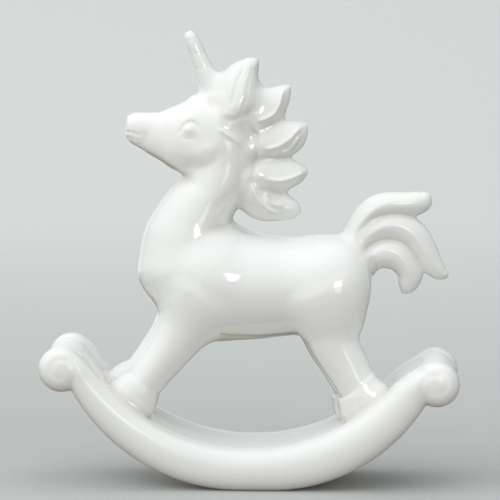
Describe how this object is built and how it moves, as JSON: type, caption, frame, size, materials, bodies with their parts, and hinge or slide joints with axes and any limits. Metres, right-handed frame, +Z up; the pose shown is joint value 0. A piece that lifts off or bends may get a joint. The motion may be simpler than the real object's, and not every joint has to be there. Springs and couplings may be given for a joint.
{
  "type": "rocking unicorn figurine",
  "caption": "White glazed porcelain unicorn with a leaf-lock mane and a parted tail, standing on a curved rocker whose runners end in scrolls.",
  "frame": {"origin": "on the surface that the rocker stands on, under the middle of the object's length and width", "axes": "+Z up; the unicorn looks towards -X; its left side, which the picture shows, is -Y"},
  "size_m": [0.202, 0.0636, 0.2194],
  "materials": {
    "body_glaze": "clear high-gloss glaze over white porcelain",
    "head_glaze": "clear high-gloss glaze over white porcelain",
    "horn_glaze": "clear high-gloss glaze over white porcelain",
    "mane_glaze": "clear high-gloss glaze over white porcelain",
    "tail_glaze": "clear high-gloss glaze over white porcelain",
    "leg_glaze": "clear high-gloss glaze over white porcelain",
    "hoof_glaze": "clear high-gloss glaze over white porcelain",
    "rocker_glaze": "clear high-gloss glaze over white porcelain",
    "scroll_glaze": "clear high-gloss glaze over white porcelain"
  },
  "bodies": {
    "root": {"trunk": "body_glaze", "neck": "body_glaze", "head": "head_glaze", "horn": "horn_glaze", "forelock": "mane_glaze", "mane_lock_1": "mane_glaze", "mane_lock_2": "mane_glaze", "mane_lock_3": "mane_glaze", "mane_lock_4": "mane_glaze", "tail_lock_upper": "tail_glaze", "tail_lock_middle": "tail_glaze", "tail_lock_lower": "tail_glaze", "front_leg_left": "leg_glaze", "front_leg_right": "leg_glaze", "hind_leg_left": "leg_glaze", "hind_leg_right": "leg_glaze", "front_hoof_left": "hoof_glaze", "front_hoof_right": "hoof_glaze", "hind_hoof_left": "hoof_glaze", "hind_hoof_right": "hoof_glaze", "runner_left": "rocker_glaze", "runner_right": "rocker_glaze", "deck": "rocker_glaze", "scroll_front_left": "scroll_glaze", "scroll_front_right": "scroll_glaze", "scroll_rear_left": "scroll_glaze", "scroll_rear_right": "scroll_glaze"}
  },
  "joints": []
}
